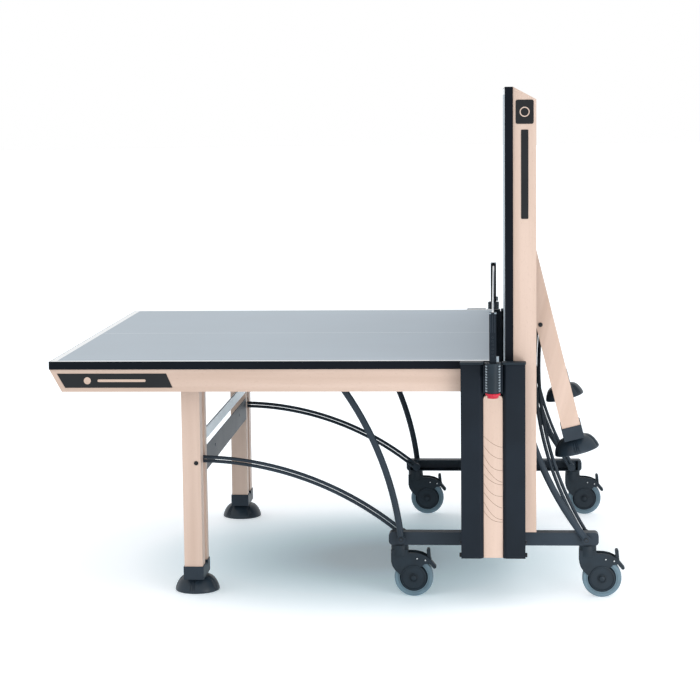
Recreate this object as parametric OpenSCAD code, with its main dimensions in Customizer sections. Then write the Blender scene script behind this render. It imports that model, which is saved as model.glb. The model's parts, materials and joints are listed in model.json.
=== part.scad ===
// Table tennis table on a wheeled centre frame. Each half folds up by itself.
// The left half is down for play and the right half is folded up.
// X runs along the table, Y across it, Z up. The origin is on the floor, at
// the centre of the outline. "u" is the distance out from the net plane.

/* [Table] */
// Length of both halves together
table_len = 2740; // [2200:10:3300]
// Width of the playing surface
table_w = 1525; // [1300:5:1830]
// Height of the playing surface
play_h = 760; // [720:1:840]
// Thickness of the playing panel
panel_t = 25; // [20:0.5:30]
// Gap between the two halves at the net
net_gap = 5; // [5:0.5:10]
// Wall of the steel edge band
band_t = 2.5; // [1.5:0.5:4]

/* [Rails] */
// Depth of a side rail
rail_d = 70; // [60:1:84]
// Thickness of a side rail
rail_t = 36; // [30:1:40]
// Distance of a rail's outer face inside the panel edge
rail_inset = 5.5; // [3:0.5:10]
// Length of the slanted cut at a rail's outer end
rail_cut = 38; // [10:1:60]
// Distance of a rail's net end from the panel's net end
rail_setback = 9; // [9:1:20]
// Thickness of the inlay plates on the rails
inlay_t = 1.5; // [1:0.25:2]

/* [Fold] */
// Distance of a folded playing surface from the net plane
fold_gap = 37; // [35:1:45]
// Height of the net end of a folded half above the floor
fold_clear = 219; // [218:1:260]
// Depth of the pivots below the playing surface
pivot_depth = 37; // [37:0.5:44]
// Radius of the guide axle
guide_axle_r = 8; // [6:0.5:9]
// Radius of the guide rollers
roller_r = 20; // [16:0.5:20]
// Radial clearance of running pivots
run_clear = 0.05; // [0.02:0.01:0.1]

/* [Legs] */
// Distance of the leg hinge from the net plane
leg_u = 932; // [820:1:1080]
// Width of a leg along the table
leg_w = 58; // [48:1:70]
// Distance of the leg hinge from the net side of the leg
leg_hinge_in = 14; // [12:1:20]
// Thickness of a leg's outer plank
plank_outer_t = 55; // [35:1:60]
// Thickness of a leg's inner plank
plank_inner_t = 38; // [30:1:45]
// Gap between a leg's two planks
plank_gap = 48; // [40:1:60]
// Lean of a folded leg from the vertical
leg_lean = 14; // [11:0.5:17]
// Height of the lower end of the planks
plank_foot_z = 62; // [60:1:80]
// Radius of the bell feet
foot_r = 71; // [60:1:75]
// Height of the black crossbar between the legs
crossbar_h = 78; // [50:1:110]
// Height of the lower edge of the crossbar
crossbar_z = 378; // [300:1:420]
// Height of the grey tie bar
tie_h = 38; // [20:1:50]
// Gap between the crossbar and the tie bar
tie_gap = 22; // [10:1:40]

/* [Arms] */
// Distance of the base bolts from the net plane
base_bolt_u = 288; // [260:1:310]
// Height of the base bolts
base_bolt_z = 187; // [180:1:195]
// Width of the main arms
arm_w = 21; // [18:1:26]
// Thickness of the main arms
arm_t = 16; // [12:1:17]
// Rise of the main arms above their chord
arm_rise = 42; // [20:1:60]
// Diameter of the rods of the leg links
rod_d = 11; // [8:0.5:13]
// Rise of the leg links above their chord
link_rise = 60; // [50:1:70]

/* [Base] */
// Length of the base beams
beam_len = 655; // [640:1:700]
// Height of the base beams
beam_h = 41; // [40:1:50]
// Depth of the base beams across the table
beam_d = 40; // [38:1:60]
// Distance of the beams' outer faces inside the panel edge
beam_inset = 101.5; // [98:0.5:110]
// Height of the lower face of the base beams
beam_z = 165; // [163:1:170]
// Wall of the base beams and the uprights
steel_t = 3; // [2:0.5:4]
// Width of an upright along the table
upright_w = 68; // [66:1:72]
// Depth of an upright across the table
upright_d = 35; // [34:1:50]
// Distance of an upright from the net plane
upright_u = 30; // [28:1:31]
// Top of the uprights, below their caps
upright_top = 752; // [751:1:760]
// Lower end of the uprights
upright_foot = 154; // [150:1:164]
// Gap between the panel edge and an upright
upright_gap = 2.5; // [1:0.5:5]
// Top of the wood infill between two uprights
infill_top = 657; // [560:1:660]

/* [Net] */
// Height of the net above the playing surface
net_h = 152.5; // [120:0.5:180]
// Distance of the net posts outside the panel edge
post_out = 152.5; // [130:0.5:170]
// Width of the net posts along the table
post_w = 21; // [18:1:24]
// Depth of the net posts across the table
post_d = 18; // [16:1:22]
// Radius of the spigots under the net posts
spigot_r = 8; // [6:0.5:9]
// Top of the net posts above the net
post_over = 12; // [4:1:30]
// Radius of the knurled clamp barrels
barrel_r = 23.5; // [19:0.5:26]
// Thickness of the net
net_t = 2; // [1:0.5:3]

/* [Casters] */
// Distance of the swivel axes from the net plane
caster_u = 294; // [280:1:300]
// Radius of the wheels
wheel_r = 61; // [52:1:61]
// Trail of the wheels behind the swivel axis
trail = 44; // [36:1:48]
// Width of the tyres
tyre_w = 30; // [24:1:32]

/* [Hidden] */
$fn = 48;

steel_color = [0.15, 0.18, 0.21];
wood_color = [0.85, 0.74, 0.66];
rubber_color = [0.12, 0.13, 0.15];
grey_color = [0.66, 0.69, 0.71];

// ---- Places along the table, in the frame of one half
half_len = table_len / 2;
edge_v = table_w / 2;                       // panel edge, from the centreline
rail_face = edge_v - rail_inset;            // outer face of a rail
rail_back = rail_face - rail_t;
guide_u = fold_gap + pivot_depth;           // the guide axle stays at this u
pivot_z = play_h - pivot_depth;             // pivots of a half that is down
fold_z = fold_clear - net_gap / 2;          // net plane end of a folded half
panel_start = net_gap / 2 - guide_u;        // net end, from the guide axle
panel_end = half_len - guide_u;
panel_under = pivot_depth - panel_t;        // under the panel, from the pivots

// ---- Lanes across the table, as distances from the centreline
beam_out = edge_v - beam_inset;
beam_in = beam_out - beam_d;
leg_out = beam_out - 2;                     // outer face of the outer plank
leg_gap_out = leg_out - plank_outer_t;
leg_gap_in = leg_gap_out - plank_gap;
leg_in = leg_gap_in - plank_inner_t;
leg_v = leg_gap_in + plank_gap / 2;         // centre of the leg
arm_v = beam_out + 7 + arm_t / 2;
link_v = leg_v;
upright_in = edge_v + upright_gap;
upright_out = upright_in + upright_d;
pin_reach = rail_face - 5;                  // ends of the pins in the rails

// ---- Main arm: its rail pivot is where the arm closes up and down
rise_h = pivot_z - base_bolt_z;
guide_dx = guide_u - base_bolt_u;
drop_h = fold_z - base_bolt_z;
arm_u = (base_bolt_u * base_bolt_u + rise_h * rise_h
    - guide_dx * guide_dx - drop_h * drop_h) / (2 * (base_bolt_u + drop_h));
arm_len = norm([arm_u - base_bolt_u, rise_h]);
arm_up_angle = atan2(rise_h, arm_u - base_bolt_u);
arm_fold_angle = atan2(drop_h + arm_u, guide_dx);

// ---- Leg link: its bolt is where the link closes up and down
leg_dx = leg_u - base_bolt_u;
leg_fold_h = fold_z + leg_u - base_bolt_z;
link_drop = (leg_dx * leg_dx + rise_h * rise_h - guide_dx * guide_dx
    - leg_fold_h * leg_fold_h) / (2 * (rise_h + guide_dx * sin(leg_lean)
    - leg_fold_h * cos(leg_lean)));
link_len = norm([leg_dx, rise_h - link_drop]);
link_up_angle = atan2(rise_h - link_drop, leg_dx);
link_fold_angle = atan2(leg_fold_h - link_drop * cos(leg_lean),
    guide_dx + link_drop * sin(leg_lean));

// ---- Small fixed sizes
pin_r = 8;
shaft_r = 9;
leg_head_r = pivot_depth - panel_t - 0.5;
link_pin_r = 6;
eye_r = 14;
bolt_head_r = 7;
spindle_r = 8;
bracket_wall = 3;
bracket_top = plank_foot_z + 30;
bracket_z = plank_foot_z - 12;
foot_h = bracket_z - 0.5;
hub_r = 44;
axle_r = 5;
kingpin_r = 6;
stem_r = 27;
cheek_t = 5;
cheek_gap = tyre_w / 2 + 2;
pedal_x = trail + 49;
pedal_z = wheel_r + 51;
pedal_angle = -50;
pedal_len = 25;
prong_r = 5.5;
guard_r = 40;
crown_z = 150;
pedal_pin_r = 2.5;
pedal_w = 24;
cap_t = 8;
cross_tube_u = 78;
cross_tube_w = 40;
infill_in = 2;
infill_t = 22;
infill_corner = 12;
bolt_z = 162;
screw_z = 201;
plate_t = 2;
block_gap = 2.5;
bracket_z0 = 24;
bracket_h = 24;
bracket_w = 28;
sleeve_r = 16;
beam_corner = 12;
beam_end = 14;
slot_w = 9;
crossbar_lip = 28;
slot_in = 200;
tie_t = 6;
tube_t = 2.5;
top_tubes_u = [200, 640, half_len - 120];

// Outline along X: from the outer end of the half that is down to the pedals
reach = caster_u + pedal_x + pedal_len * cos(pedal_angle) + prong_r;
net_x = (half_len - reach) / 2;

// ---- Placing
module at_net() { translate([net_x, 0, 0]) children(); }
module side(s) { at_net() mirror([s == "left" ? 1 : 0, 0, 0]) children(); }
module both_y() { children(); mirror([0, 1, 0]) children(); }
module edge(e) { mirror([0, e == "near" ? 1 : 0, 0]) children(); }

// Frame of a half, at its guide axle: +X to the outer end, +Z to the ball
module on_top(s) {
    side(s) translate([guide_u, 0, s == "left" ? pivot_z : fold_z + guide_u])
        rotate([0, s == "left" ? 0 : -90, 0]) children();
}
// Frame of the legs, at their hinge: -Z to the feet
module on_leg(s) {
    side(s) translate(s == "left" ? [leg_u, 0, pivot_z] : [guide_u, 0, fold_z + leg_u])
        rotate([0, s == "left" ? 0 : -leg_lean, 0]) children();
}
// Frame of the main arms, at their rail pivot: -X to the base bolt
module on_arm(s) {
    on_top(s) translate([arm_u - guide_u, 0, 0])
        rotate([0, s == "left" ? -arm_up_angle : 90 - arm_fold_angle, 0]) children();
}
// Frame of the leg links, at their leg bolt: -X to the base bolt
module on_link(s) {
    on_leg(s) translate([0, 0, -link_drop])
        rotate([0, s == "left" ? -link_up_angle : leg_lean - link_fold_angle, 0])
        children();
}

// ---- Shared shapes
// Box between two corners
module span(a, b) { translate(a) cube(b - a); }
// Cylinder along Y between two distances
module y_rod(r, v0, v1) {
    translate([0, v1, 0]) rotate([90, 0, 0]) cylinder(r = r, h = v1 - v0);
}
// Square tube along Y between two distances
module y_tube(w, h, v0, v1) {
    difference() {
        span([-w / 2, v0, -h / 2], [w / 2, v1, h / 2]);
        span([-w / 2 + tube_t, v0 - 1, -h / 2 + tube_t],
            [w / 2 - tube_t, v1 + 1, h / 2 - tube_t]);
    }
}
// Flat bar section with round edges
module stadium(w, t) {
    square([w - t, t], center = true);
    for (m = [-1, 1]) translate([m * (w - t) / 2, 0]) circle(d = t);
}
// Bar bent in the XZ plane from x = -len to x = 0, with its section as child
module bent_bar(len, rise, offset_r = 0) {
    radius = (len * len / 4 + rise * rise) / (2 * rise);
    half = asin(len / 2 / radius);
    translate([-len / 2, 0, rise - radius]) rotate([90, 0, 0])
        rotate([0, 0, 90 - half]) rotate_extrude(angle = 2 * half, $fn = 180)
        translate([radius + offset_r, 0]) children();
}
// Outline with round corners
module round_rect(w, h, r) {
    union() {
        square([w - 2 * r, h], center = true);
        square([w, h - 2 * r], center = true);
        for (x = [-1, 1], y = [-1, 1])
            translate([x * (w / 2 - r), y * (h / 2 - r)]) circle(r);
    }
}

// ---- Base frame
module base_beams() {
    color(steel_color) at_net() both_y() difference() {
        translate([0, beam_out, beam_z + beam_h / 2]) rotate([90, 0, 0])
            linear_extrude(beam_d) round_rect(beam_len, beam_h, beam_corner);
        difference() {
            span([-beam_len / 2 + beam_end, beam_in - 1, beam_z + steel_t],
                [beam_len / 2 - beam_end, beam_out - steel_t, beam_z + beam_h - steel_t]);
            for (m = [-1, 1]) translate([m * caster_u, caster_v(), beam_z])
                cylinder(r = kingpin_r + 8, h = beam_h);
        }
        for (m = [-1, 1]) translate([m * caster_u, caster_v(), beam_z - 1])
            cylinder(r = kingpin_r + run_clear, h = 36);
    }
}
function caster_v() = beam_in + beam_d / 2;

module base_cross_tubes() {
    color(steel_color) at_net() for (m = [-1, 1])
        translate([m * cross_tube_u, 0, beam_z + beam_h / 2]) {
            y_tube(cross_tube_w, beam_h - 5, -beam_in, beam_in);
            both_y() y_tube(cross_tube_w, beam_h - 5, beam_out, upright_in);
        }
}

module upright_profile() {
    u0 = upright_u;
    u1 = upright_u + upright_w;
    bevel = 9;
    t = steel_t;
    polygon([[u0, upright_in], [u0, upright_out - bevel], [u0 + bevel, upright_out],
        [u1, upright_out], [u1, upright_in], [u1 - t, upright_in],
        [u1 - t, upright_out - t], [u0 + bevel + t * 0.4, upright_out - t],
        [u0 + t, upright_out - bevel - t * 0.4], [u0 + t, upright_in]]);
    // Lip that holds the guide roller from the net side
    translate([guide_u - roller_r - 1 - t, upright_in + 6])
        square([t, upright_d - 6 - t / 2]);
}
module uprights(e) {
    color(steel_color) edge(e) at_net() for (m = [0, 1]) mirror([m, 0, 0]) {
        // Half of the plate that joins the two uprights behind the infill
        span([0, upright_in, upright_foot],
            [upright_u + steel_t, upright_in + plate_t, upright_top]);
        translate([0, 0, upright_foot])
            linear_extrude(upright_top - upright_foot) upright_profile();
        // Foot block that ties the upright to the cross tube
        span([upright_u + steel_t, upright_in, upright_foot],
            [upright_u + upright_w - steel_t, upright_out - steel_t, beam_z + beam_h]);
    }
}
module upright_caps() {
    color(rubber_color) at_net() both_y() for (m = [0, 1]) mirror([m, 0, 0])
        translate([upright_u + upright_w / 2, upright_in + upright_d / 2, upright_top])
        linear_extrude(cap_t) round_rect(upright_w + 4, upright_d + 1, 4);
}
module wood_infills() {
    color(wood_color) at_net() both_y()
        translate([0, upright_in + infill_in + infill_t, 0]) rotate([90, 0, 0])
        linear_extrude(infill_t) {
            c = infill_corner;
            translate([-upright_u, upright_foot])
                square([2 * upright_u, infill_top - upright_foot - c]);
            translate([-upright_u + c, upright_foot])
                square([2 * (upright_u - c), infill_top - upright_foot]);
            for (m = [-1, 1]) translate([m * (upright_u - c), infill_top - c]) circle(c);
        }
}
// Bolts: base bolts, side bolts of the uprights and the screws above them
module frame_bolts() {
    color([0.35, 0.37, 0.4]) at_net() both_y() for (m = [0, 1]) mirror([m, 0, 0]) {
        translate([upright_u + upright_w, upright_in + upright_d / 2, bolt_z])
            rotate([0, 90, 0]) cylinder(r = 7, h = 6);
        translate([upright_u + upright_w, upright_in + upright_d / 2, screw_z])
            rotate([0, 90, 0]) cylinder(r = 5, h = 4);
    }
}

// ---- Net set
function post_v() = edge_v + post_out;
// Channel that is open towards the net, on a round spigot
module net_post(e) {
    post_top = play_h + net_h + post_over;
    color(steel_color) edge(e) at_net() translate([0, post_v(), 0]) {
        difference() {
            span([-post_w / 2, -post_d / 2, barrel_z() + barrel_h() + 0.5],
                [post_w / 2, post_d / 2, post_top]);
            span([-slot_w / 2, -post_d / 2 - 1, barrel_z() + barrel_h() + 2],
                [slot_w / 2, post_d / 2 - 6, post_top + 1]);
        }
        translate([0, 0, barrel_z() - 10]) cylinder(r = spigot_r, h = barrel_h() + 11);
    }
}
// The net is wider above the clamp barrels, where its ends sit in the posts
module net() {
    clear_v = post_v() - barrel_r - 2;
    end_v = post_v() + post_d / 2 - 6;
    color([0.16, 0.17, 0.18]) at_net() {
        span([-net_t / 2, -clear_v, play_h + 1], [net_t / 2, clear_v, play_h + net_h]);
        span([-net_t / 2, -end_v, barrel_z() + barrel_h() + 2.5],
            [net_t / 2, end_v, play_h + net_h]);
    }
}
function barrel_z() = play_h - 77;
function barrel_h() = 90;
module net_brackets() {
    color(steel_color) at_net() both_y() {
        // Block between the uprights, narrower where it stands up between their caps
        span([-upright_u, upright_in + plate_t, infill_top + 8],
            [upright_u, upright_out, upright_top - block_gap]);
        span([-upright_u + block_gap + 2, upright_in + plate_t, infill_top + 8],
            [upright_u - block_gap - 2, upright_out, play_h - block_gap]);
        difference() {
            union() {
                span([-bracket_w / 2, upright_out, barrel_z() + bracket_z0],
                    [bracket_w / 2, post_v() - 10, barrel_z() + bracket_z0 + bracket_h]);
                translate([0, post_v(), barrel_z()]) cylinder(r = sleeve_r, h = barrel_h());
            }
            translate([0, post_v(), barrel_z() - 1])
                cylinder(r = spigot_r + run_clear, h = barrel_h() + 2);
        }
    }
}
module net_barrels() {
    color(rubber_color) at_net() both_y() difference() {
        translate([0, post_v(), barrel_z()]) cylinder(r = barrel_r, h = barrel_h());
        translate([0, post_v(), barrel_z() - 1]) cylinder(r = sleeve_r, h = barrel_h() + 2);
        span([-bracket_w / 2, post_v() - barrel_r - 1, barrel_z() + bracket_z0],
            [bracket_w / 2, post_v(), barrel_z() + bracket_z0 + bracket_h]);
    }
}
module net_ring(e) {
    color([0.85, 0.12, 0.2]) edge(e) at_net() translate([0, post_v(), barrel_z() - 15.3])
        difference() {
            cylinder(r = barrel_r - 1, h = 15);
            translate([0, 0, -1]) cylinder(r = spigot_r + 0.5, h = 17);
        }
}

// ---- Casters: frame at the swivel axis on the floor, trailing to +X
module at_caster(s, e) {
    at_net() translate([s == "left" ? -caster_u : caster_u,
        e == "near" ? -caster_v() : caster_v(), 0]) children();
}
module cheek_profile() {
    polygon([[-stem_r, crown_z], [-stem_r, 112], [-stem_r + 4, 98], [-14, 84], [4, 68],
        [trail, wheel_r], [trail + 22, wheel_r + 32], [pedal_x - 15, pedal_z - 8],
        [pedal_x - 4, pedal_z - 7], [pedal_x + 5, pedal_z - 4], [pedal_x + 6, pedal_z + 3],
        [pedal_x + 2, pedal_z + 7], [pedal_x - 9, pedal_z + 17], [pedal_x - 24, pedal_z + 24],
        [pedal_x - 42, pedal_z + 28], [stem_r, crown_z - 9], [stem_r, crown_z]]);
    translate([trail, wheel_r]) circle(guard_r);
}
module caster_housing(s, e) {
    color(rubber_color) at_caster(s, e) {
        for (m = [-1, 1]) translate([0, m * (cheek_gap + cheek_t / 2), 0])
            rotate([90, 0, 0]) linear_extrude(cheek_t, center = true) cheek_profile();
        translate([0, 0, crown_z - 20]) cylinder(r = stem_r, h = beam_z - crown_z + 19.5);
        // Mudguard over the tyre
        translate([trail, 0, wheel_r]) rotate([90, 0, 0]) rotate([0, 0, 60])
            rotate_extrude(angle = 72, $fn = 96)
            translate([wheel_r + 3, -cheek_gap]) square([4, 2 * cheek_gap]);
        translate([0, 0, crown_z - 10]) cylinder(r = kingpin_r, h = beam_z - crown_z + 40);
        translate([trail, 0, wheel_r]) {
            y_rod(axle_r, -cheek_gap - cheek_t - 3, cheek_gap + cheek_t + 3);
            for (m = [-1, 1]) translate([0, m * (cheek_gap + cheek_t + 1.5), 0])
                y_rod(9, -1.5, 1.5);
        }
        translate([pedal_x, 0, pedal_z])
            y_rod(pedal_pin_r, -cheek_gap - cheek_t, cheek_gap + cheek_t);
    }
}
module wheel(s, e) {
    at_caster(s, e) translate([trail, 0, wheel_r]) rotate([90, 0, 0]) {
        color([0.6, 0.67, 0.7]) rotate_extrude($fn = 96) polygon([[hub_r, -tyre_w / 2],
            [wheel_r - 8, -tyre_w / 2], [wheel_r - 2, -tyre_w / 2 + 4], [wheel_r, -4],
            [wheel_r, 4], [wheel_r - 2, tyre_w / 2 - 4], [wheel_r - 8, tyre_w / 2],
            [hub_r, tyre_w / 2]]);
        color(rubber_color) rotate_extrude($fn = 96) polygon([
            [axle_r + run_clear, -tyre_w / 2], [14, -tyre_w / 2], [18, -8], [hub_r - 6, -8],
            [hub_r, -tyre_w / 2], [hub_r, tyre_w / 2], [hub_r - 6, 8], [18, 8],
            [14, tyre_w / 2], [axle_r + run_clear, tyre_w / 2]]);
    }
}
module brake_pedal(s, e) {
    color(rubber_color) at_caster(s, e) translate([pedal_x, 0, pedal_z]) rotate([90, 0, 0])
        linear_extrude(pedal_w, center = true) difference() {
            union() {
                circle(prong_r + 1.5);
                prong(95, 34);
                prong(pedal_angle, pedal_len);
            }
            circle(pedal_pin_r + run_clear);
        }
}
module prong(angle, len) {
    rotate([0, 0, angle]) {
        translate([0, -prong_r]) square([len, 2 * prong_r]);
        translate([len, 0]) circle(prong_r);
    }
}

// ---- One half of the top
module top_panel(s) {
    color([0.66, 0.71, 0.76]) on_top(s)
        span([panel_start + band_t, -edge_v + band_t, panel_under],
            [panel_end - band_t, edge_v - band_t, pivot_depth]);
}
module edge_band(s) {
    color(steel_color) on_top(s) difference() {
        span([panel_start, -edge_v, panel_under],
            [panel_end, edge_v, pivot_depth - 0.4]);
        span([panel_start + band_t, -edge_v + band_t, panel_under - 1],
            [panel_end - band_t, edge_v - band_t, pivot_depth + 1]);
    }
}
rail_start = panel_start + rail_setback;
rail_low = panel_under - rail_d;
module rail(s, e) {
    color(wood_color) on_top(s) edge(e) difference() {
        translate([0, rail_face, 0]) rotate([90, 0, 0]) linear_extrude(rail_t)
            polygon([[rail_start, panel_under], [panel_end, panel_under],
                [panel_end - rail_cut, rail_low], [rail_start, rail_low]]);
        y_rod(guide_axle_r + run_clear, rail_back - 1, rail_face + 1);
        translate([arm_u - guide_u, 0, 0]) y_rod(pin_r + run_clear, rail_back - 1, pin_reach + 1);
        translate([leg_u - guide_u, 0, 0]) y_rod(shaft_r + run_clear, rail_back - 1, pin_reach + 1);
    }
}
// Plain plates on the rails' faces, near the outer end
module rail_inlays(s) {
    slant = 25;
    color(steel_color) on_top(s) both_y() translate([0, rail_face + inlay_t, 0])
        rotate([90, 0, 0]) linear_extrude(inlay_t)
        if (s == "left") {
            polygon([[panel_end - 24, panel_under - 13], [panel_end - 24 - slant, rail_low + 13],
                [panel_end - 384, rail_low + 13], [panel_end - 365, panel_under - 13]]);
        } else {
            translate([panel_end - 75, (panel_under + rail_low) / 2]) round_rect(72, 54, 6);
            translate([panel_end - 262, (panel_under + rail_low) / 2]) round_rect(268, 22, 3);
        }
}
module top_cross_tubes(s) {
    color(steel_color) on_top(s) for (u = top_tubes_u)
        translate([u - guide_u, 0, panel_under - 20]) y_tube(30, 40, -rail_back, rail_back);
}
module guide_carriage(s) {
    color([0.45, 0.47, 0.5]) on_top(s) {
        y_rod(guide_axle_r, -(upright_out - steel_t - 1.5), upright_out - steel_t - 1.5);
        both_y() difference() {
            y_rod(roller_r, upright_in + 7, upright_out - steel_t - 2);
            y_rod(guide_axle_r, upright_in, upright_out);
        }
    }
}
// Two arms joined by the tube at their rail pivots
module main_arms(s) {
    color(steel_color) on_arm(s) {
        both_y() {
            translate([0, arm_v, 0]) bent_bar(arm_len, arm_rise) stadium(arm_w, arm_t);
            y_rod(leg_head_r - 0.3, arm_v - arm_t / 2, arm_v + arm_t / 2 + 2);
            y_rod(pin_r, arm_v, pin_reach);
            translate([-arm_len, 0, 0]) {
                y_rod(arm_w / 2 + 2, arm_v - arm_t / 2, arm_v + arm_t / 2);
                y_rod(bolt_head_r, arm_v, arm_v + arm_t / 2 + 5);
                y_rod(bolt_head_r - 1, beam_out + 1, arm_v);
            }
        }
        y_rod(leg_head_r - 0.6, -arm_v, arm_v);
    }
}
module leg_links(s) {
    color(steel_color) on_link(s) both_y() {
        difference() {
            union() {
                for (m = [-1, 1]) translate([0, link_v, 0])
                    bent_bar(link_len, link_rise, m * (rod_d / 2 + 0.7)) circle(d = rod_d);
                for (x = [0, -link_len]) translate([x, 0, 0])
                    y_rod(eye_r, link_v - 7, link_v + 7);
            }
            y_rod(link_pin_r + run_clear, link_v - 8, link_v + 8);
        }
        translate([-link_len, 0, 0]) y_rod(link_pin_r, link_v - 9, beam_in - 1);
    }
}

// ---- Legs
leg_x0 = -leg_hinge_in;
leg_x1 = leg_w - leg_hinge_in;
leg_mid = (leg_x0 + leg_x1) / 2;
module plank_profile() {
    translate([leg_x0, plank_foot_z - pivot_z])
        square([leg_w, pivot_z - plank_foot_z - 34]);
    polygon([[leg_x0, -35], [leg_x1, -35], [leg_x1, -26], [leg_head_r * 0.7, leg_head_r * 0.7],
        [-leg_head_r, 0], [leg_x0, -20]]);
    circle(leg_head_r);
}
module plank(v0, v1) {
    difference() {
        translate([0, v1, 0]) rotate([90, 0, 0]) linear_extrude(v1 - v0) plank_profile();
        y_rod(shaft_r, v0 - 1, v1 + 1);
        translate([0, 0, -link_drop]) y_rod(link_pin_r, v0 - 1, v1 + 1);
    }
}
module leg(s, e) {
    color(wood_color) on_leg(s) edge(e) {
        plank(leg_gap_out, leg_out);
        plank(leg_in, leg_gap_in);
    }
}
module leg_pins(s) {
    color([0.35, 0.37, 0.4]) on_leg(s) {
        y_rod(shaft_r, -pin_reach, pin_reach);
        both_y() translate([0, 0, -link_drop]) {
            y_rod(link_pin_r, leg_in, leg_out);
            y_rod(bolt_head_r, leg_out, leg_out + 2);
        }
    }
}
module foot_brackets(s) {
    z0 = bracket_z - pivot_z;
    z1 = bracket_top - pivot_z;
    color(steel_color) on_leg(s) both_y() difference() {
        span([leg_x0 - bracket_wall, leg_in - bracket_wall, z0],
            [leg_x1 + bracket_wall, leg_out + bracket_wall, z1]);
        span([leg_x0, leg_gap_out, plank_foot_z - pivot_z], [leg_x1, leg_out, z1 + 1]);
        span([leg_x0, leg_in, plank_foot_z - pivot_z], [leg_x1, leg_gap_in, z1 + 1]);
        span([leg_mid - 23, leg_v - 40, z0 - 1], [leg_mid + 23, leg_v + 40, z0 + 9]);
        translate([leg_mid, leg_v, z0]) cylinder(r = spindle_r + run_clear, h = 50);
        span([leg_x0 - 4, leg_v - 18, z1 - 10], [leg_x1 + 4, leg_v + 18, z1 + 1]);
    }
}
module leg_crossbar(s) {
    z0 = crossbar_z - pivot_z;
    t = steel_t;
    // Angle section: a tall web on the net side and a lip along its lower edge
    color(steel_color) on_leg(s) difference() {
        union() {
            span([leg_x0, -leg_in, z0], [leg_x0 + t, leg_in, z0 + crossbar_h]);
            span([leg_x0, -leg_in, z0], [leg_x0 + crossbar_lip, leg_in, z0 + t]);
        }
        for (m = [-1, 1]) translate([leg_x0 - 1, m * (leg_in - slot_in), z0 + crossbar_h * 0.6])
            rotate([0, 90, 0]) cylinder(d = 12, h = t + 2);
    }
}
module leg_tie_bar(s) {
    z0 = crossbar_z - pivot_z + crossbar_h + tie_gap;
    color(grey_color) on_leg(s)
        span([leg_x0, -leg_in, z0], [leg_x0 + tie_t, leg_in, z0 + tie_h]);
}
// Bell foot on a threaded spindle
module foot(s, e) {
    color(rubber_color) on_leg(s) edge(e) translate([leg_mid, leg_v, -pivot_z]) {
        rotate_extrude($fn = 96) polygon([[0, 0], [foot_r - 2, 0], [foot_r, 2], [foot_r, 5],
            [foot_r - 1.5, 12], [foot_r - 4.5, 20], [foot_r - 9, 29], [foot_r - 14.5, 37],
            [foot_r - 21, 43.5], [foot_r - 27, 46.5], [foot_r - 34, foot_h - 1],
            [0, foot_h - 1]]);
        translate([0, 0, foot_h - 1]) cylinder(r = 20, h = 1);
        translate([0, 0, foot_h]) cylinder(r = spindle_r, h = bracket_top - 20 - foot_h);
    }
}

// ---- Drawing: one piece, or all of them
base_beams();
base_cross_tubes();
uprights("near");  // uprights_near
uprights("far");  // uprights_far
upright_caps();
wood_infills();
frame_bolts();
net_post("near");  // net_post_near
net_post("far");  // net_post_far
net();
net_brackets();
net_barrels();
net_ring("near");  // net_ring_near
net_ring("far");  // net_ring_far
for (s = ["left", "right"], e = ["near", "far"]) {
    caster_housing(s, e);
    wheel(s, e);
    brake_pedal(s, e);
    rail(s, e);
    leg(s, e);
    foot(s, e);
}
for (s = ["left", "right"]) {
    top_panel(s);
    edge_band(s);
    rail_inlays(s);
    top_cross_tubes(s);
    guide_carriage(s);
    main_arms(s);
    leg_links(s);
    leg_pins(s);
    foot_brackets(s);
    leg_crossbar(s);
    leg_tie_bar(s);
}
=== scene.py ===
"""Looks of the folding table tennis table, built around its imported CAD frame.

Lengths are in metres and angles in degrees. +X runs along the table towards the folded
half, +Y across it away from the near side, +Z up. Places come from the frame: boxes of
CAD nodes, positions of joints, and the CAD meshes themselves.
"""
import json
import math

import bmesh
import bpy
from mathutils import Matrix, Vector


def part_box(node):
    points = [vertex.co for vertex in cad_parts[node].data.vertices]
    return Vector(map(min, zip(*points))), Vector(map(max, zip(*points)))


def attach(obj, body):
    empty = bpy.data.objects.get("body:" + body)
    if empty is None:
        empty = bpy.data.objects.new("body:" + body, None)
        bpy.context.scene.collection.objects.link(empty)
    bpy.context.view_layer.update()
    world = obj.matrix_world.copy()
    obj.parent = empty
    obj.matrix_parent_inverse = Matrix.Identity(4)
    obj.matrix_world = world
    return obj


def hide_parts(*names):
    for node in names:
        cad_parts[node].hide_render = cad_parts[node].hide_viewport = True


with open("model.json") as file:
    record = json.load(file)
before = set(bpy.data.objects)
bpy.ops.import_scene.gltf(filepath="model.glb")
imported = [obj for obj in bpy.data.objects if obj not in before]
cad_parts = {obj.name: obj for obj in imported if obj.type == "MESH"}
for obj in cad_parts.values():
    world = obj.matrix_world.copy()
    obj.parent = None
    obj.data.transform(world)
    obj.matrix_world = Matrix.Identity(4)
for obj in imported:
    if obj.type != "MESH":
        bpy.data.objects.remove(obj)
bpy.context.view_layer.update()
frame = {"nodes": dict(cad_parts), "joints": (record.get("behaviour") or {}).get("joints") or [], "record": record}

NODES = frame["nodes"]
RECORD = frame["record"]
BODY = {n: body for body, nodes in RECORD["behaviour"]["bodies"].items() for n in nodes}
PIVOT = {j["name"]: Vector(j["pos_m"]) for j in frame["joints"] if "pos_m" in j}
AXIS = {j["name"]: Vector(j["axis"]) for j in frame["joints"]}
SIDES = ("left", "right")
ENDS = ("near", "far")
CORNERS = [f"{side}_{end}" for side in SIDES for end in ENDS]

TO_Y = Matrix.Rotation(math.radians(-90), 4, "X")      # turns local Z to +Y
TO_MINUS_Y = Matrix.Rotation(math.radians(90), 4, "X")  # turns local Z to -Y


def centre(node):
    low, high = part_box(node)
    return (low + high) / 2


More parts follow.
